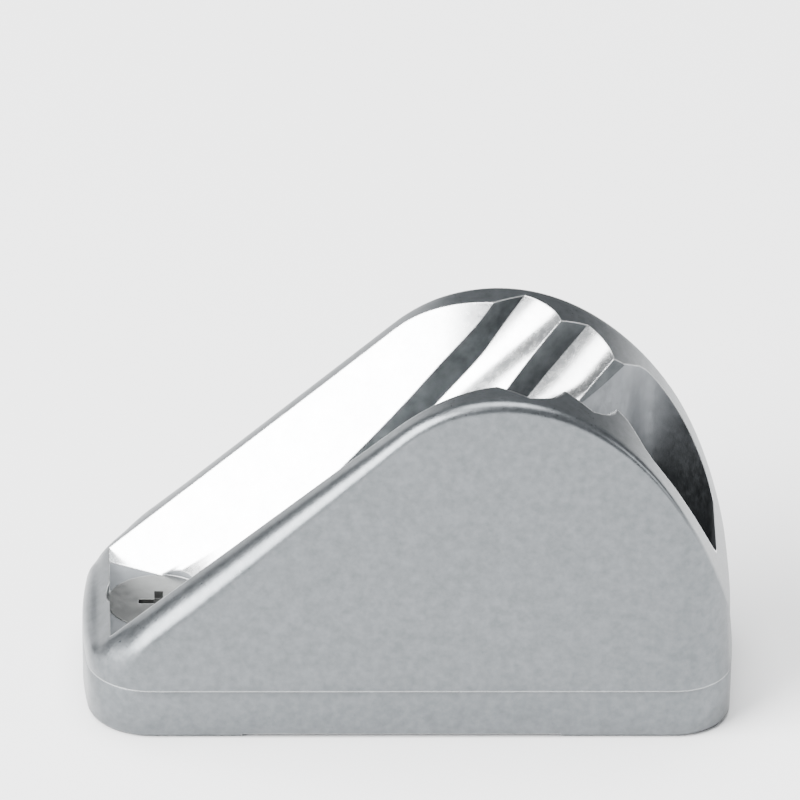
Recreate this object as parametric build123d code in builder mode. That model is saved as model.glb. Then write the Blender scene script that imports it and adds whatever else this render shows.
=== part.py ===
"""Fixed jam cleat: a one-piece die-cast aluminium rope cleat and its two fixing screws.

The rope comes in over the low pad at -X, climbs the V-groove and jams between the slanting
teeth on the hump. X runs along the rope, Y across it and Z up. The origin is the middle of
the base, on the face that meets the deck.
"""

import os
from math import cos, radians, sin, tan

from build123d import *

# ---- driving dimensions, in mm and degrees ---------------------------------------------
# outside of the casting
length = 45.0
width = 17.6                   # at the parting line, where the casting is widest
height = 26.3
corner_radius = 4.0            # of the plan outline
end_bulge = 0.45               # how far each end bows out
parting_height = 3.9           # the two mould halves meet here
draft = 1.0                    # both halves lean inwards from the parting line
crest_x = 6.15                 # highest point of the side walls
crest_radius = 10.8
ramp_angle = 41.0              # slope of the side walls' top edge
tail_reach = 16.9              # half length of the tail's quarter ellipse
rim_fillet = 0.6
base_fillet = 0.4
relief_depth = 0.3             # the middle of the base stands clear of the deck
relief_ends = (-11.5, 10.5)

# rope groove
pad_height = 5.8               # seat of the front screw, and floor of the tail pocket
groove_angle = 38.3            # slope of the bottom of the V
groove_start_x = -10.7         # where that bottom leaves the pad
groove_half_angle = 31.5       # of the V, from upright
groove_half_floor = 0.5        # half of the flat at the bottom of the V
groove_crest_x = 10.0          # the bottom of the V runs level here
groove_crest_radius = 14.0
groove_end_x = 18.0

# teeth and tail pocket
tooth_feet = (-2.8, 3.4, 9.3)  # where each crest starts, at the bottom of the V
tooth_depth = 2.8              # height of the upright flank behind a crest
tooth_sag = 0.5                # how hollow the long face of a tooth is
foot_depth = 0.2               # the flutes fade out at the bottom of the V
fade_half_width = 2.6          # and have their full depth from here outwards
thin_rim = 1.0                 # wall left outside a flute
pocket_half_width = 6.3
pocket_turn = (14.9, 3.9)      # the pocket's wall swings outwards here
pocket_shoulder_x = 16.0
pocket_end_x = 21.2
pocket_radius = 3.0

# fixing screws
screw_x = 17.2                 # one each side of the middle
screw_radius = 2.0             # over the thread, below the base
neck_radius = 1.5              # plain neck inside the casting
screw_length = 14.0            # from the head's rim to the tip
tip_length = 2.0
tip_radius = 0.5
head_radius = 3.6
head_angle = 90.0
hole_radius = 2.15
drive_width = 0.6              # cross recess
drive_span = 2.8
drive_depth = 0.6
seat_gap = 0.04                # between the head and its countersink

# ---- worked-out dimensions -------------------------------------------------------------
half_length = length / 2
half_width = width / 2
above = height + 12            # clear of the whole casting
spread = tan(radians(groove_half_angle))
groove_slope = tan(radians(groove_angle))
wall_rise = Vector(0, 1, 1 / spread)       # up one wall of the V, straight across
head_height = (head_radius - neck_radius) / tan(radians(head_angle / 2))
countersink_radius = head_radius + seat_gap
flute_half_width = half_width - (height - parting_height) * tan(radians(draft)) - thin_rim

ramp = radians(ramp_angle)
ramp_top = (crest_x - crest_radius * sin(ramp), height - crest_radius * (1 - cos(ramp)))
ramp_foot_x = ramp_top[0] - (ramp_top[1] - pad_height) / tan(ramp)

rise = radians(groove_angle)
groove_bend_x = groove_crest_x - groove_crest_radius * sin(rise)
groove_bend_z = pad_height + (groove_bend_x - groove_start_x) * groove_slope
groove_crest_z = groove_bend_z + groove_crest_radius * (1 - cos(rise))
groove_foot_z = pad_height - (length + groove_start_x) * groove_slope


# ---- outside of the casting ------------------------------------------------------------
# Plan outline with bowed ends, widest at the parting line and drafted both ways from it.
with BuildPart() as envelope:
    for level in (0, parting_height, above):
        inset = abs(level - parting_height) * tan(radians(draft))
        end_x = half_length - end_bulge - inset
        tip_x = half_length - inset
        side_y = half_width - inset
        with BuildSketch(Plane.XY.offset(level)) as plan:
            with BuildLine():
                Line((-end_x, side_y), (end_x, side_y))
                ThreePointArc((end_x, side_y), (tip_x, 0), (end_x, -side_y))
                Line((end_x, -side_y), (-end_x, -side_y))
                ThreePointArc((-end_x, -side_y), (-tip_x, 0), (-end_x, side_y))
            make_face()
            fillet(plan.vertices(), corner_radius - inset)
    loft(ruled=True)

# Side view: base, quarter ellipse over the tail, hump, ramp, and the pad at the low end.
with BuildPart() as casting:
    with BuildSketch(Plane.XZ):
        with BuildLine():
            Line((-length, 0), (crest_x + tail_reach, 0))
            EllipticalCenterArc((crest_x, 0), tail_reach, height, arc_size=90)
            CenterArc((crest_x, height - crest_radius), crest_radius, 90, ramp_angle)
            Polyline(ramp_top, (ramp_foot_x, pad_height), (-length, pad_height), (-length, 0))
        make_face()
    extrude(amount=width, both=True)
    add(envelope.part, mode=Mode.INTERSECT)

    # Rounded edges along the ramp, over the hump and round the tail.
    top_faces = casting.faces().filter_by(lambda face: face.normal_at().Z > 0.1)
    side_faces = casting.faces().filter_by(lambda face: abs(face.normal_at().Z) < 0.1)
    rim_edges = [edge for edge in top_faces.edges() if edge in side_faces.edges()]
    fillet([edge for edge in rim_edges if edge.center().X > ramp_foot_x + 2], rim_fillet)
    fillet(casting.faces().sort_by(Axis.Z)[0].edges(), base_fillet)

# ---- V-groove --------------------------------------------------------------------------
# Everything above the bottom line of the V, carried up both walls at the same angle.
with BuildPart() as groove:
    with BuildSketch(Plane.XZ.offset(-groove_half_floor)):
        with BuildLine():
            Line((-length, groove_foot_z), (groove_bend_x, groove_bend_z))
            CenterArc((groove_crest_x, groove_crest_z - groove_crest_radius),
                      groove_crest_radius, 90 + groove_angle, -groove_angle)
            Polyline((groove_crest_x, groove_crest_z), (length, groove_crest_z),
                     (length, above), (-length, above), (-length, groove_foot_z))
        make_face()
    extrude(amount=width, dir=wall_rise)
    mirror(about=Plane.XZ)
    with BuildSketch(Plane.XZ):
        with BuildLine():
            Line((-length, groove_foot_z), (groove_bend_x, groove_bend_z))
            CenterArc((groove_crest_x, groove_crest_z - groove_crest_radius),
                      groove_crest_radius, 90 + groove_angle, -groove_angle)
            Polyline((groove_crest_x, groove_crest_z), (length, groove_crest_z),
                     (length, above), (-length, above), (-length, groove_foot_z))
        make_face()
    extrude(amount=groove_half_floor, both=True)
    with Locations((groove_end_x, 0, pad_height)):
        Box(2 * length, width, 2 * above, align=(Align.MAX, Align.CENTER, Align.MIN),
            mode=Mode.INTERSECT)

# ---- flutes between the teeth ----------------------------------------------------------
# Behind each crest the wall drops by the flank, then climbs along a hollow face to the next.
with BuildPart() as flutes:
    for foot, next_foot in zip(tooth_feet, tooth_feet[1:]):
        for side_y, depth in ((groove_half_floor, foot_depth), (fade_half_width, tooth_depth),
                              (flute_half_width, tooth_depth)):
            climb = (side_y - groove_half_floor) / spread
            crest_zs = []
            for crest_foot in (foot + climb, next_foot + climb):
                if crest_foot < groove_bend_x:
                    bottom_z = groove_bend_z - (groove_bend_x - crest_foot) * groove_slope
                elif crest_foot < groove_crest_x:
                    drop = crest_foot - groove_crest_x
                    bottom_z = groove_crest_z - drop**2 / (2 * groove_crest_radius)
                else:
                    bottom_z = groove_crest_z
                crest_zs.append(bottom_z + climb)
            valley = (foot + climb, crest_zs[0] - depth)
            crest = (next_foot + climb, crest_zs[1])
            middle = ((valley[0] + crest[0]) / 2, (valley[1] + crest[1]) / 2)
            sag = tooth_sag * depth / tooth_depth
            with BuildSketch(Plane.XZ.offset(-side_y)):
                with BuildLine():
                    ThreePointArc(valley, (middle[0] + sag, middle[1] - sag), crest)
                    Polyline(crest, (crest[0], 2 * above), (valley[0], 2 * above), valley)
                make_face()
        loft(ruled=True)
    mirror(about=Plane.XZ)

# ---- tail pocket and screw holes -------------------------------------------------------
with BuildPart() as pocket:
    with BuildSketch(Plane.XY.offset(pad_height)) as pocket_plan:
        with BuildLine():
            Polyline((tooth_feet[2], 0), (tooth_feet[2], groove_half_floor), pocket_turn,
                     (pocket_shoulder_x, pocket_half_width), (pocket_end_x, pocket_half_width),
                     (pocket_end_x, 0), (tooth_feet[2], 0))
        make_face()
        fillet(pocket_plan.vertices().group_by(Axis.Y)[-1], pocket_radius)
        mirror(about=Plane.XZ)
    extrude(amount=above)

with BuildPart() as screw_holes:
    with Locations((-screw_x, 0, 0), (screw_x, 0, 0)):
        Cylinder(hole_radius, above, align=(Align.CENTER, Align.CENTER, Align.MIN))
    with Locations((-screw_x, 0, pad_height), (screw_x, 0, pad_height)):
        Cone(neck_radius, countersink_radius, head_height + seat_gap,
             align=(Align.CENTER, Align.CENTER, Align.MAX))
        Cylinder(countersink_radius, above, align=(Align.CENTER, Align.CENTER, Align.MIN))

# ---- cleat body ------------------------------------------------------------------------
with BuildPart() as cleat_body:
    add(casting.part)
    add(groove.part, mode=Mode.SUBTRACT)
    add(flutes.part, mode=Mode.SUBTRACT)
    add(pocket.part, mode=Mode.SUBTRACT)
    add(screw_holes.part, mode=Mode.SUBTRACT)
    with Locations((sum(relief_ends) / 2, 0, 0)):
        Box(relief_ends[1] - relief_ends[0], width, relief_depth,
            align=(Align.CENTER, Align.CENTER, Align.MIN), mode=Mode.SUBTRACT)
cleat_body.part.label = "cleat_body"

# ---- fixing screws ---------------------------------------------------------------------
# Countersunk, cross recess, one piece each: the head lies level with its seat.
with BuildPart() as screw:
    with BuildSketch(Plane.XZ):
        with BuildLine():
            Polyline((0, pad_height), (head_radius, pad_height),
                     (neck_radius, pad_height - head_height), (neck_radius, 0),
                     (screw_radius, 0), (screw_radius, pad_height - screw_length + tip_length),
                     (tip_radius, pad_height - screw_length),
                     (0, pad_height - screw_length), (0, pad_height))
        make_face()
    revolve(axis=Axis.Z)
    with Locations((0, 0, pad_height)):
        Box(drive_span, drive_width, drive_depth,
            align=(Align.CENTER, Align.CENTER, Align.MAX), mode=Mode.SUBTRACT)
        Box(drive_width, drive_span, drive_depth,
            align=(Align.CENTER, Align.CENTER, Align.MAX), mode=Mode.SUBTRACT)

with BuildPart() as pad_screw:
    add(Pos(-screw_x, 0, 0) * screw.part)
pad_screw.part.label = "pad_screw"

with BuildPart() as tail_screw:
    add(Pos(screw_x, 0, 0) * screw.part)
tail_screw.part.label = "tail_screw"

os.makedirs("parts", exist_ok=True)
export_step(cleat_body.part, "parts/cleat_body.step")
export_step(pad_screw.part, "parts/pad_screw.step")
export_step(tail_screw.part, "parts/tail_screw.step")
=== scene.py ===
from math import cos, pi, radians, sin, sqrt, tan

import bpy
import numpy as np
from mathutils import Matrix, Vector


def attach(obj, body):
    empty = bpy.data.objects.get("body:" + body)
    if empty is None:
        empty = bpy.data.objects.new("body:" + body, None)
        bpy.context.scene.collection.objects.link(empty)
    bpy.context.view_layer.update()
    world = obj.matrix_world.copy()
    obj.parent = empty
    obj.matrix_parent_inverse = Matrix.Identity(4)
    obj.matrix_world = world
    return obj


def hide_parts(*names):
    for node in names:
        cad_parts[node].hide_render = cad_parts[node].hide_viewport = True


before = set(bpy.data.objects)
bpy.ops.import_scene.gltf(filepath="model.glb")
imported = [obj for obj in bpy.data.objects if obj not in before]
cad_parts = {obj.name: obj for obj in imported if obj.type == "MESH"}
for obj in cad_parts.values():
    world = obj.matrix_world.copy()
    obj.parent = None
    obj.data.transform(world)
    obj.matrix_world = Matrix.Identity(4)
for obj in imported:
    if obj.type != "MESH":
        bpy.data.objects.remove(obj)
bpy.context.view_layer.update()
bpy.ops.object.select_all(action="DESELECT")

# ---- dimensions ------------------------------------------------------------------------
# In mm and radians; MM turns them into the scene's metres.
MM = 0.001
HALF_LENGTH = 22.5
HALF_WIDTH = 8.8
CORNER_RADIUS = 4.0            # of the plan outline
END_BULGE = 0.45               # how far each end bows out
CREST_X = 6.15                 # highest point of the side walls
CREST_Z = 26.3
CREST_RADIUS = 10.8
TAIL_REACH = 16.9              # half length of the tail's quarter ellipse
RAMP = radians(41.0)           # slope of the side walls' top edge
PAD_Z = 5.8                    # the pad, and the floor of the tail pocket
PARTING_Z = 3.9                # the two mould halves meet here
DRAFT = tan(radians(1.0))      # both halves lean inwards from the parting line
PARTING_MARK = 0.045           # depth of the fine line just below it
TAIL_LEDGE = 0.14              # the upper half is this much smaller at the tail
RIM_X = (-22.5, -20, -15, -10, -5, 2, 14, 18, 22.5)
RIM_SIZE = (1.1, 2.2, 2.2, 1.8, 1.4, 0.8, 0.6, 0.45, 0.3)

SCREW_X = 17.2                 # one each side of the middle
HOLE_RADIUS = 2.15
SEAT_RADIUS = 3.64             # of the countersink, at the level of the pad

GROOVE_RISE = radians(38.3)    # slope of the bottom of the V
GROOVE_START_X = -10.7         # where that bottom leaves the pad
GROOVE_LEVEL_X = 10.0          # from here it runs level
GROOVE_BEND_RADIUS = 14.0
GROOVE_HALF_FLOOR = 0.5
WALL_SLOPE = tan(radians(31.5))
LOW_END_WIDENING = 0.03        # the V's walls lean out a little more near the pad
RIM_WALL_Y = 7.45              # a flute never cuts further out than this
TOOTH_FEET = (-2.8, 3.4, 9.3)  # where each crest starts, at the bottom of the V
FLANK = 0.1                    # run of the flank behind a crest
TOOTH_DEPTH = 2.8
TOOTH_HOLLOW = 0.6             # how hollow the long face of a tooth is
FULL_DEPTH_CLIMB = 4.5         # the flutes fade out below this height up the wall


# ---- making and closing meshes ---------------------------------------------------------

def smooth_step(value, low, high):
    share = np.clip((value - low) / (high - low), 0, 1)
    return share * share * (3 - 2 * share)


def wrapped_grid(column_count, row_count, place):
    """A grid whose points move to place(column, row), and each point's column."""
    bpy.ops.mesh.primitive_grid_add(x_subdivisions=column_count - 1,
                                    y_subdivisions=row_count - 1, size=2)
    made = bpy.context.object
    column_of = []
    for vertex in made.data.vertices:
        column = round((vertex.co.x + 1) / 2 * (column_count - 1))
        row = round((vertex.co.y + 1) / 2 * (row_count - 1))
        column_of.append(column)
        vertex.co = Vector(place(column, row)) * MM
    return made, column_of


def open_mesh():
    """Enters edit mode with everything selected."""
    bpy.ops.object.mode_set(mode="EDIT")
    bpy.ops.mesh.select_all(action="SELECT")


def close_mesh():
    """Turns every face outwards and leaves edit mode."""
    bpy.ops.mesh.select_all(action="SELECT")
    bpy.ops.mesh.normals_make_consistent(inside=False)
    bpy.ops.object.mode_set(mode="OBJECT")


def extrude_up(rise):
    """Extrudes what is selected by this rise, in metres."""
    bpy.ops.mesh.extrude_region_move(TRANSFORM_OT_translate={"value": (0, 0, rise)})


# ---- cleat body: the outside of the casting --------------------------------------------
# One aluminium die casting, about 45 mm long: a block with a bowed, round-cornered plan, a
# long ramp, a round hump and a quarter-ellipse tail. A grid is wrapped round the plan, ring
# on ring: up the sides, round the rim, and in over the top to the middle line.

def side_profile(x):
    """Height of the side walls' top edge at x."""
    ramp_top_x = CREST_X - CREST_RADIUS * sin(RAMP)
    ramp_top_z = CREST_Z - CREST_RADIUS * (1 - cos(RAMP))
    line = np.maximum(PAD_Z, ramp_top_z - (ramp_top_x - x) * tan(RAMP))
    round_top = np.sqrt(np.maximum(0, CREST_RADIUS**2 - (x - CREST_X)**2))
    hump = CREST_Z - CREST_RADIUS + round_top
    tail = CREST_Z * np.sqrt(np.maximum(0, 1 - ((x - CREST_X) / TAIL_REACH)**2))
    return np.where(x < ramp_top_x, line, np.where(x < CREST_X, hump, tail))


def plan_outline():
    """Points round the plan, each with its outward direction: x, y, nx, ny."""
    end_radius = (HALF_WIDTH**2 + END_BULGE**2) / (2 * END_BULGE)
    end_x = HALF_LENGTH - end_radius
    corner_y = HALF_WIDTH - CORNER_RADIUS
    corner_x = end_x + sqrt((end_radius - CORNER_RADIUS)**2 - corner_y**2)
    end_turn = np.arctan2(corner_y, corner_x - end_x)
    points = []
    for turn in np.linspace(0, end_turn, 6)[:-1]:
        nx, ny = cos(turn), sin(turn)
        points.append((end_x + end_radius * nx, end_radius * ny, nx, ny))
    for turn in np.linspace(end_turn, pi / 2, 15)[:-1]:
        nx, ny = cos(turn), sin(turn)
        points.append((corner_x + CORNER_RADIUS * nx, corner_y + CORNER_RADIUS * ny, nx, ny))
    for x in np.linspace(corner_x, 0, 38):
        points.append((x, HALF_WIDTH, 0, 1))
    pad_end = []
    for x, y, nx, ny in points[-2::-1]:
        bow = 0.55 * (y / HALF_WIDTH)**2 * float(smooth_step(x, 13, 18))
        pad_end.append((bow - x, y, -nx, ny))
    points += pad_end
    return np.array(points + [(x, -y, nx, -ny) for x, y, nx, ny in points[-2::-1]])


# Each ring is a kind and two values: a height and an inset for a side ring, an angle for a
# rim ring, and the share of the way to the middle line for a top ring.
rings = [("side", z, inset) for z, inset in
         ((0, 0.4), (0.1, 0.16), (0.4, 0), (2.2, 0), (3.66, 0), (3.76, PARTING_MARK),
          (PARTING_Z, 0), (4.4, 0))]
rings += [("rim", turn, 0) for turn in np.linspace(0, pi / 2, 8)]
rings += [("top", share, 0) for share in (0.05, 0.1, 0.16, 0.24, 0.34, 0.5, 0.75, 1)]
plan = plan_outline()


def casting_point(column, row):
    x, y, nx, ny = plan[column]
    kind, value, side_inset = rings[row]
    rim = np.interp(x, RIM_X, RIM_SIZE)
    rim = min(rim, float(side_profile(x)) - 4.6)
    ledge = TAIL_LEDGE * smooth_step(x, 6, 21)
    if kind == "side":
        inset = abs(value - PARTING_Z) * DRAFT + side_inset
        inset += ledge if value > PARTING_Z else 0
        return x - nx * inset, y - ny * inset, value
    lean = ledge + (side_profile(x) - rim - PARTING_Z) * DRAFT
    if kind == "rim":
        inset = lean + rim * (1 - cos(value))
        moved_x = x - nx * inset
        return moved_x, y - ny * inset, side_profile(moved_x) - rim * (1 - sin(value))
    inset = lean + rim
    spine_x = float(np.clip(x, -17.5, 17.5))
    edge_x, edge_y = x - nx * inset, y - ny * inset
    moved_x = edge_x + (spine_x - edge_x) * value
    return moved_x, edge_y * (1 - value), side_profile(moved_x)


body, _ = wrapped_grid(len(plan), len(rings), casting_point)
body.name = "cast_cleat_body"
open_mesh()
bpy.ops.mesh.remove_doubles(threshold=0.00001)
bpy.ops.mesh.select_all(action="DESELECT")
bpy.ops.mesh.select_non_manifold()
bpy.ops.mesh.edge_face_add()
close_mesh()


# ---- cleat body: the finishes of the casting -------------------------------------------
# Satin die-cast aluminium: the outside keeps the fine orange-peel grain of the mould, the
# rope faces are tumbled and rubbed bright, the tail pocket is left as it was cast, and the
# upright tooth flanks are coloured dark as painted shade.

def linear(hex_text):
    """An sRGB hex colour as the linear colour that the shader takes."""
    parts = [int(hex_text[i:i + 2], 16) / 255 for i in (1, 3, 5)]
    return [p / 12.92 if p <= 0.04045 else ((p + 0.055) / 1.055)**2.4 for p in parts] + [1]


def add_node(material, kind, inputs=None, **settings):
    """Adds one node; inputs takes values or output sockets to link."""
    made = material.node_tree.nodes.new(kind)
    for name, value in settings.items():
        setattr(made, name, value)
    for name, value in (inputs or {}).items():
        if isinstance(value, bpy.types.NodeSocket):
            material.node_tree.links.new(value, made.inputs[name])
        else:
            made.inputs[name].default_value = value
    return made


def new_material(name):
    """A material and its shader."""
    material = bpy.data.materials.new(name)
    material.use_nodes = True
    return material, material.node_tree.nodes["Principled BSDF"]


def cast_finish(name, low, high, rough, grain_mm, grain_depth_mm, soft_edge_mm):
    """A cast aluminium finish with a fine mottle in colour, roughness and surface.

    Its sharp edges are drawn rounded, with a painted highlight along them that also stands
    for the wear of handling.
    """
    material, shader = new_material(name)
    links = material.node_tree.links
    place = add_node(material, "ShaderNodeTexCoord")
    mottle = add_node(material, "ShaderNodeTexNoise",
                      {"Vector": place.outputs["Object"], "Scale": 1 / (grain_mm * 4 * MM),
                       "Detail": 5.0, "Roughness": 0.65})
    grain = add_node(material, "ShaderNodeTexNoise",
                     {"Vector": place.outputs["Object"], "Scale": 1 / (grain_mm * MM),
                      "Detail": 3.0, "Roughness": 0.6})
    ramp = add_node(material, "ShaderNodeValToRGB", {"Fac": mottle.outputs["Fac"]})
    ramp.color_ramp.elements[0].position = 0.32
    ramp.color_ramp.elements[0].color = linear(low)
    ramp.color_ramp.elements[1].position = 0.68
    ramp.color_ramp.elements[1].color = linear(high)
    spread = add_node(material, "ShaderNodeMapRange",
                      {"Value": grain.outputs["Fac"], "From Min": 0.3, "From Max": 0.7,
                       "To Min": rough * 0.85, "To Max": rough * 1.2})
    links.new(spread.outputs["Result"], shader.inputs["Roughness"])
    edge = add_node(material, "ShaderNodeBevel", {"Radius": soft_edge_mm * MM}, samples=4)
    face = add_node(material, "ShaderNodeNewGeometry")
    match = add_node(material, "ShaderNodeVectorMath",
                     {0: edge.outputs["Normal"], 1: face.outputs["Normal"]},
                     operation="DOT_PRODUCT")
    # Painted highlight: sharp edges are mixed towards near white, partly standing for
    # handling wear and partly for light they catch.
    edge_wear_and_highlight = add_node(material, "ShaderNodeMapRange",
                    {"Value": match.outputs["Value"], "From Min": 0.99, "From Max": 0.90,
                     "To Min": 0.0, "To Max": 0.75})
    # The colour mix node's sockets share names, so they go by number: factor, A and B.
    bright = add_node(material, "ShaderNodeMix",
                      {0: edge_wear_and_highlight.outputs["Result"], 6: ramp.outputs["Color"],
                       7: linear("#F2F3F3")}, data_type="RGBA")
    links.new(bright.outputs[2], shader.inputs["Base Color"])
    bump = add_node(material, "ShaderNodeBump",
                    {"Height": grain.outputs["Fac"], "Normal": edge.outputs["Normal"],
                     "Strength": 1.0, "Distance": grain_depth_mm * MM})
    links.new(bump.outputs["Normal"], shader.inputs["Normal"])
    shader.inputs["Metallic"].default_value = 1.0
    return material


cast_outside = cast_finish("die_cast_aluminium_satin", "#636769", "#727578",
                           0.32, 0.16, 0.006, 0.16)
rubbed_groove = cast_finish("die_cast_aluminium_tumbled", "#D4D6D7", "#E0E1E1",
                            0.25, 0.5, 0.0015, 0.15)
cast_pocket = cast_finish("die_cast_aluminium_as_cast", "#6E7174", "#808386",
                          0.5, 0.4, 0.012, 0.12)
# Painted shade: the upright tooth flanks are coloured dark for the shade they face.
painted_shade_flank = cast_finish("die_cast_aluminium_flank_painted_shade", "#404345", "#56595B",
                         0.42, 0.3, 0.010, 0.12)
body.data.materials.append(cast_outside)


def cut_from_body(cutter):
    """Cuts a closed shape out of the casting and removes it; its faces bring their finish."""
    cut = body.modifiers.new("cut", "BOOLEAN")
    cut.operation = "DIFFERENCE"
    cut.solver = "EXACT"
    cut.material_mode = "TRANSFER"
    cut.object = cutter
    bpy.ops.object.select_all(action="DESELECT")
    bpy.context.view_layer.objects.active = body
    bpy.ops.object.modifier_apply(modifier=cut.name)
    bpy.data.objects.remove(cutter)


# ---- cleat body: the screw holes -------------------------------------------------------
# Two clear holes for 4 mm screws, one in the pad and one in the tail pocket, each cut with
# a 90 degree countersink that opens at the level of the pad.
cone_height = SEAT_RADIUS - HOLE_RADIUS
start_z = -1.0
for hole_x in (-SCREW_X, SCREW_X):
    bpy.ops.mesh.primitive_circle_add(vertices=72, radius=HOLE_RADIUS * MM, fill_type="NGON",
                                      location=(hole_x * MM, 0, start_z * MM))
    bit = bpy.context.object
    bpy.ops.object.transform_apply(location=True)
    open_mesh()
    extrude_up((PAD_Z - cone_height - start_z) * MM)
    extrude_up(cone_height * MM)
    growth = SEAT_RADIUS / HOLE_RADIUS
    bpy.ops.transform.resize(value=(growth, growth, 1), center_override=(hole_x * MM, 0, 0))
    extrude_up(30 * MM)
    close_mesh()
    bit.data.materials.append(cast_pocket)
    cut_from_body(bit)


# ---- cleat body: the V-groove and its teeth --------------------------------------------
# The V climbs from the pad to the hump. On the hump each wall carries slanting teeth: a long
# hollow face up to a crest, then an upright flank. The first tooth curves down the wall. A
# grid's columns run along the groove and its rows go up both walls; it is closed above.

def groove_bottom(x):
    """Height of the bottom of the V at x: a straight climb, a bend, then level."""
    bend_x = GROOVE_LEVEL_X - GROOVE_BEND_RADIUS * sin(GROOVE_RISE)
    bend_z = PAD_Z + (bend_x - GROOVE_START_X) * tan(GROOVE_RISE)
    level_z = bend_z + GROOVE_BEND_RADIUS * (1 - cos(GROOVE_RISE))
    climb = bend_z - (bend_x - x) * tan(GROOVE_RISE)
    round_part = np.sqrt(np.maximum(0, GROOVE_BEND_RADIUS**2 - (x - GROOVE_LEVEL_X)**2))
    bend = level_z - GROOVE_BEND_RADIUS + round_part
    return np.where(x < bend_x, climb, np.where(x < GROOVE_LEVEL_X, bend, level_z))


columns = list(np.arange(-44, -16, 4.0)) + list(np.arange(-16, TOOTH_FEET[0] - 0.2, 0.6))
for foot, next_foot in zip(TOOTH_FEET, TOOTH_FEET[1:]):
    columns += [foot] + list(np.linspace(foot + FLANK, next_foot, 16)[:-1])
columns += [TOOTH_FEET[2], TOOTH_FEET[2] + FLANK, 14, 20, 30]
climbs = list(np.concatenate((np.linspace(0, 12, 41), [14.0])))
rows = [-climb for climb in climbs[::-1]] + climbs


def flute_depth(foot_x, climb):
    """How far a flute lies below the plain wall."""
    depth = 0.0
    for foot, next_foot in zip(TOOTH_FEET, TOOTH_FEET[1:] + (30,)):
        if foot + FLANK / 2 < foot_x < next_foot:
            share = (foot_x - foot) / (next_foot - foot)
            depth = TOOTH_DEPTH * (1 - share) + TOOTH_HOLLOW * 4 * share * (1 - share)
    return depth * smooth_step(climb, 0, FULL_DEPTH_CLIMB)


def groove_point(column, row):
    foot_x = columns[column]
    climb = abs(rows[row])
    side = 1 if row >= len(climbs) else -1
    sweep = -min(6.5, 0.34 * max(0, 8.3 - climb)**2)
    sweep *= np.interp(foot_x, (-14, TOOTH_FEET[0], TOOTH_FEET[1]), (0, 1, 0))
    x = foot_x + climb + sweep
    widening = np.interp(x, (-20, -5), (LOW_END_WIDENING, 0))
    y = min(GROOVE_HALF_FLOOR + (WALL_SLOPE + widening) * climb, RIM_WALL_Y + 0.02 * climb)
    return x, side * y, groove_bottom(x) + climb - flute_depth(foot_x, climb)


groove, column_of = wrapped_grid(len(columns), len(rows), groove_point)
for finish in (rubbed_groove, painted_shade_flank, cast_pocket):
    groove.data.materials.append(finish)
# The tooth flanks take the dark flank colour, which is painted shade.
flank_columns = [columns.index(foot) for foot in TOOTH_FEET]
for face in groove.data.polygons:
    if min(column_of[corner] for corner in face.vertices) in flank_columns:
        face.material_index = 1
open_mesh()
extrude_up(0.001)
bpy.ops.object.mode_set(mode="OBJECT")
for vertex in groove.data.vertices:
    if vertex.select:
        vertex.co.z = 0.06
open_mesh()
bpy.ops.mesh.normals_make_consistent(inside=False)
# The V stops just under the level of the pad, inside the pad's lip and in the tail pocket.
for place, direction in (((0, 0, 5.76 * MM), (0, 0, -1)), ((-20.6 * MM, 0, 0), (-1, 0, 0)),
                         ((18 * MM, 0, 0), (1, 0, 0))):
    bpy.ops.mesh.select_all(action="SELECT")
    bpy.ops.mesh.bisect(plane_co=place, plane_no=direction, use_fill=True, clear_outer=True)
close_mesh()
for face in groove.data.polygons:
    if face.normal.z < -0.99:
        face.material_index = 2 if face.center.x < -0.01 else 0
cut_from_body(groove)

# ---- cleat body: the tail pocket and the relief under the base -------------------------
# Behind the last tooth the casting is hollowed down to the level of the pad, with an upright
# round-cornered wall; the middle of the base is relieved so that two feet carry it.
pocket_corner = [(21.2 - 3.0 * (1 - cos(turn)), 6.3 - 3.0 * (1 - sin(turn)))
                 for turn in np.linspace(0, pi / 2, 9)]
half_pocket = pocket_corner + [(SCREW_X, 6.3), (16.5, 6.1), (16.0, 5.6), (15.5, 4.8),
                               (14.9, 3.9), (TOOTH_FEET[2], GROOVE_HALF_FLOOR)]
pocket_plan = half_pocket + [(x, -y) for x, y in half_pocket[::-1]]
bpy.ops.mesh.primitive_circle_add(vertices=len(pocket_plan), fill_type="NGON")
pocket = bpy.context.object
for vertex, (x, y) in zip(pocket.data.vertices, pocket_plan):
    vertex.co = Vector((x, y, 5.75)) * MM
open_mesh()
extrude_up(40 * MM)
close_mesh()
pocket.data.materials.append(cast_pocket)
cut_from_body(pocket)

bpy.ops.mesh.primitive_cube_add(size=1, location=(-0.5 * MM, 0, 0))
relief = bpy.context.object
relief.scale = (0.022, 0.03, 0.0006)
bpy.ops.object.transform_apply(location=True, scale=True)
relief.data.materials.append(cast_pocket)
cut_from_body(relief)
bpy.ops.object.select_all(action="DESELECT")
body.select_set(True)
bpy.context.view_layer.objects.active = body
bpy.ops.object.shade_smooth_by_angle(angle=radians(40))
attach(body, "root")
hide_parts("cleat_body")

# ---- fixing screws ---------------------------------------------------------------------
# Two 4 mm countersunk stainless screws with a cross recess, in a plain tumbled finish.
stainless, shader = new_material("stainless_steel_tumbled")
place = add_node(stainless, "ShaderNodeTexCoord")
scuff = add_node(stainless, "ShaderNodeTexNoise",
                 {"Vector": place.outputs["Object"], "Scale": 1 / (0.5 * MM), "Detail": 4.0})
spread = add_node(stainless, "ShaderNodeMapRange",
                  {"Value": scuff.outputs["Fac"], "From Min": 0.3, "From Max": 0.7,
                   "To Min": 0.3, "To Max": 0.45})
stainless.node_tree.links.new(spread.outputs["Result"], shader.inputs["Roughness"])
edge = add_node(stainless, "ShaderNodeBevel", {"Radius": 0.1 * MM}, samples=4)
stainless.node_tree.links.new(edge.outputs["Normal"], shader.inputs["Normal"])
shader.inputs["Base Color"].default_value = linear("#757675")
shader.inputs["Metallic"].default_value = 1.0
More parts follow.
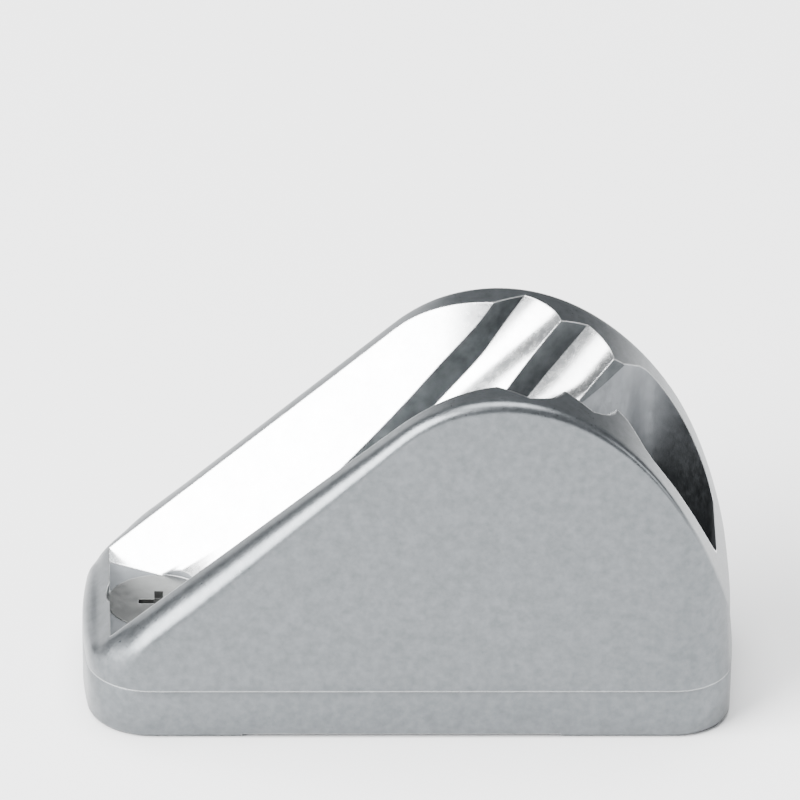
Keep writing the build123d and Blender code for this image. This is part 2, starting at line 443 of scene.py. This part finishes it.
for name in ("pad_screw", "tail_screw"):
    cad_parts[name].data.materials.clear()
    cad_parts[name].data.materials.append(stainless)

# ---- floor, lights and camera ----------------------------------------------------------
# A pale matt sheet under soft studio lights; a long lens from the front and 30 degrees up.
bpy.ops.mesh.primitive_plane_add(size=3, location=(0, 0, 0))
floor = bpy.context.object
floor.name = "floor"
paper, shader = new_material("white_matt_paper")
shader.inputs["Base Color"].default_value = linear("#F4F4F4")
shader.inputs["Roughness"].default_value = 0.9
floor.data.materials.append(paper)

world = bpy.data.worlds.new("studio_room")
bpy.context.scene.world = world
world.use_nodes = True
world.node_tree.nodes["Background"].inputs["Color"].default_value = linear("#E8ECF0")
world.node_tree.nodes["Background"].inputs["Strength"].default_value = 0.5


def soft_light(name, place, size, watts):
    """A square soft box at a place, aimed at the cleat."""
    light = bpy.data.lights.new(name, "AREA")
    light.size = size
    light.energy = watts
    box = bpy.data.objects.new(name, light)
    bpy.context.scene.collection.objects.link(box)
    box.location = place
    towards_cleat = Vector((0, 0, 0.012)) - Vector(place)
    box.rotation_euler = towards_cleat.to_track_quat("-Z", "Y").to_euler()


soft_light("main_box", (-0.60, -0.32, 0.42), 0.68, 34.0)
soft_light("overhead_box", (0.0, 0.10, 1.0), 0.8, 20.0)
soft_light("fill_box", (0.75, -0.12, 0.26), 0.3, 1.6)
soft_light("back_box", (-0.50, 0.90, 0.15), 0.5, 2.0)

camera_data = bpy.data.cameras.new("camera")
camera = bpy.data.objects.new("camera", camera_data)
bpy.context.scene.collection.objects.link(camera)
azimuth, elevation, distance = radians(-1.5), radians(30), 1.2
aim = Vector((-0.00067, 0, 0.0219))
away = Vector((sin(azimuth) * cos(elevation), -cos(azimuth) * cos(elevation), sin(elevation)))
camera.location = aim + away * distance
turn = (-away).to_track_quat("-Z", "Y").to_matrix()
camera.rotation_euler = (turn @ Matrix.Rotation(radians(0.75), 3, "Z")).to_euler()
view_width = 0.05505           # metres seen across the picture at the cleat
camera_data.lens = 36 * distance / view_width
camera_data.clip_end = 10
bpy.context.scene.camera = camera
